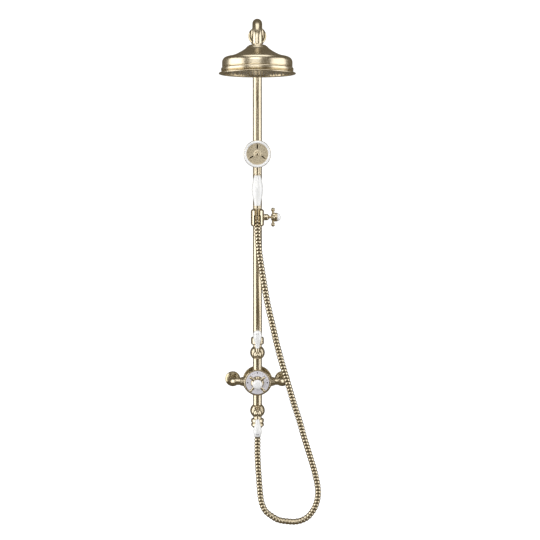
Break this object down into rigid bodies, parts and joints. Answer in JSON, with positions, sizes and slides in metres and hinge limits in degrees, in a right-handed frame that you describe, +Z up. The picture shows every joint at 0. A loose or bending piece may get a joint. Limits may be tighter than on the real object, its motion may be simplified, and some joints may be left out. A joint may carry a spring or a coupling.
{
  "type": "rainfall shower column",
  "caption": "Wall-mounted thermostatic shower column with riser, swan-neck arm, round rain rose, sliding holder, hand shower and flexible hose.",
  "frame": {"origin": "midpoint between the two inlets, on the finished wall's plane at the height of the thermostatic valve", "axes": "+Z up along the riser, +Y into the wall along the inlets, +X to the right as seen from the front"},
  "size_m": [0.294, 0.518, 1.4856],
  "materials": {
    "brass": "brushed",
    "porcelain": "gloss",
    "enamel": "gloss",
    "steel": "satin",
    "nylon": "matte",
    "rubber": "matte",
    "hose_metal": "satin"
  },
  "bodies": {
    "column": {"inlet_elbow_left": "brass", "inlet_elbow_right": "brass", "wall_flange_left": "brass", "wall_flange_right": "brass", "check_valves": "nylon", "face_seals": "rubber", "valve_body": "brass", "rear_cover": "brass", "bezel_ring": "brass", "dial_ring": "enamel", "thermostat_cartridge": "nylon", "rose_valve_body": "brass", "rose_disc_cartridge": "nylon", "hand_valve_body": "brass", "hand_disc_cartridge": "nylon", "riser_nut": "brass", "riser_tube": "brass", "top_tee": "brass", "swan_arm": "brass", "swivel_ball": "brass", "wall_stay": "brass", "wall_plate": "steel", "bracket_cover": "brass", "hose_nut": "brass", "hose_collar_lower": "brass", "hose_lower": "hose_metal"},
    "wheel": {"wheel_spindle": "brass", "wheel_bell": "brass", "wheel_cross": "brass", "wheel_screw": "steel", "wheel_button": "porcelain"},
    "rose_control": {"rose_valve_spindle": "steel", "rose_lever_hub": "brass", "rose_lever": "porcelain", "rose_lever_cap": "brass"},
    "hand_control": {"hand_valve_spindle": "steel", "hand_lever_hub": "brass", "hand_lever": "porcelain", "hand_lever_cap": "brass"},
    "swivel": {"swivel_seal": "rubber"},
    "rose": {"swivel_nut": "brass", "rose_shell": "brass", "rose_rim": "brass", "rose_spray_plate": "brass"},
    "slider": {"slider_barrel": "brass", "slider_bush": "nylon", "holder_cup": "brass", "clamp_gland": "brass", "hose_upper": "hose_metal"},
    "knob": {"knob_spindle": "brass", "knob_cross": "brass", "knob_button": "porcelain"},
    "handset": {"handset_ferrule": "brass", "handset_handle": "porcelain", "handset_neck": "brass", "handset_shell": "brass", "handset_rim": "porcelain", "handset_spray_plate": "brass", "handset_cap": "brass", "hose_collar_upper": "brass"}
  },
  "joints": [
    {"name": "temperature_turn", "type": "hinge", "parent": "column", "child": "wheel", "pos_m": [0, -0.108, 0], "axis": [0, 1, 0], "range_deg": [-135, 135]},
    {"name": "rose_lever_turn", "type": "hinge", "parent": "column", "child": "rose_control", "pos_m": [0, -0.111, 0.087], "axis": [0, -1, 0], "range_deg": [0, 90]},
    {"name": "hand_lever_turn", "type": "hinge", "parent": "column", "child": "hand_control", "pos_m": [0, -0.111, -0.087], "axis": [0, 1, 0], "range_deg": [0, 90]},
    {"name": "rose_tilt_front", "type": "hinge", "parent": "column", "child": "swivel", "pos_m": [0, -0.4, 0.946], "axis": [1, 0, 0], "range_deg": [-8, 8]},
    {"name": "rose_tilt_side", "type": "hinge", "parent": "swivel", "child": "rose", "pos_m": [0, -0.4, 0.946], "axis": [0, 1, 0], "range_deg": [-8, 8]},
    {"name": "slider_slide", "type": "slide", "parent": "column", "child": "slider", "axis": [0, 0, 1], "range_m": [-0.1, 0.24], "deforming": ["hose_lower"]},
    {"name": "knob_turn", "type": "hinge", "parent": "slider", "child": "knob", "pos_m": [0.05, -0.06, 0.491], "axis": [1, 0, 0], "range_deg": [0, 180]},
    {"name": "handset_lift", "type": "slide", "parent": "slider", "child": "handset", "axis": [0, -0.866, 0.5], "range_m": [0, 0.09], "deforming": ["hose_upper"]}
  ]
}
